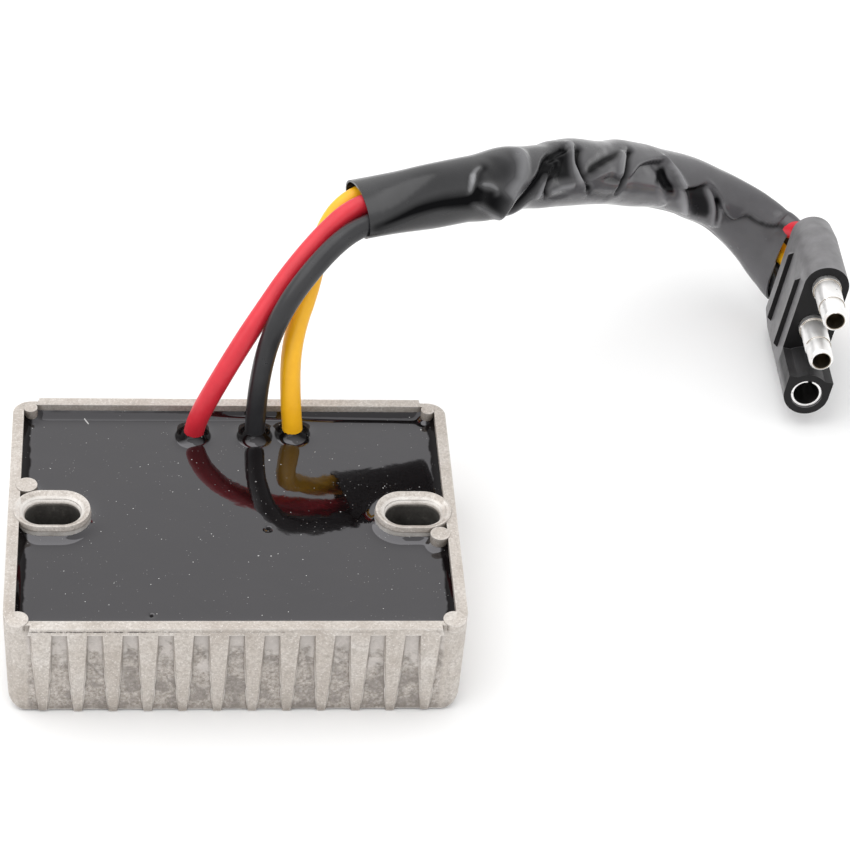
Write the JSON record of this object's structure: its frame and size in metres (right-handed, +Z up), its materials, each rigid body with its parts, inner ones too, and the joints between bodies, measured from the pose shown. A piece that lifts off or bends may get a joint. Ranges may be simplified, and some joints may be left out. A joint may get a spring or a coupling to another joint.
{
  "type": "voltage regulator rectifier",
  "caption": "Ribbed die-cast housing filled with black potting, with slotted fixing holes and a sleeved three-wire lead ending in a flat moulded connector with bullet pins and a socket.",
  "frame": {"origin": "middle of the housing's underside, on the surface it lies on", "axes": "+X along the housing's long side, towards the connector; +Y to the edge that the wires leave by; +Z up, out of the potted open side"},
  "size_m": [0.1625, 0.1322, 0.0604],
  "materials": {
    "cast_housing": "die-cast, matte and slightly mottled",
    "potting": "black cast resin with a wet gloss",
    "board": "glass-fibre board",
    "pad_rubber": "thin insulating pad",
    "tinned_copper": "tinned strands",
    "sleeve": "soft black vinyl with a low sheen",
    "moulding": "moulded black plastic, satin",
    "device_case": "moulded epoxy",
    "capacitor_case": "shrink sleeve",
    "diode_glass": "small sealed diode bodies",
    "resistor_body": "lacquered film resistor",
    "red_insulation": "smooth vinyl",
    "black_insulation": "smooth vinyl",
    "yellow_insulation": "smooth vinyl",
    "tinned_brass": "bright tin plate"
  },
  "bodies": {
    "root": {"housing": "cast_housing", "potting_compound": "potting", "circuit_board": "board", "thermal_pads": "pad_rubber", "conductor_ends": "tinned_copper", "wire_sleeve": "sleeve", "connector_body": "moulding", "rectifier_diode": "device_case", "series_thyristor": "device_case", "shunt_thyristor": "device_case", "filter_capacitor": "capacitor_case", "zener_diode": "diode_glass", "signal_diodes": "diode_glass", "gate_resistors": "resistor_body", "divider_resistors": "resistor_body", "control_transistor": "device_case", "red_wire": "red_insulation", "black_wire": "black_insulation", "yellow_wire": "yellow_insulation", "upper_bullet_pin": "tinned_brass", "lower_bullet_pin": "tinned_brass", "socket_terminal": "tinned_brass"}
  },
  "joints": []
}
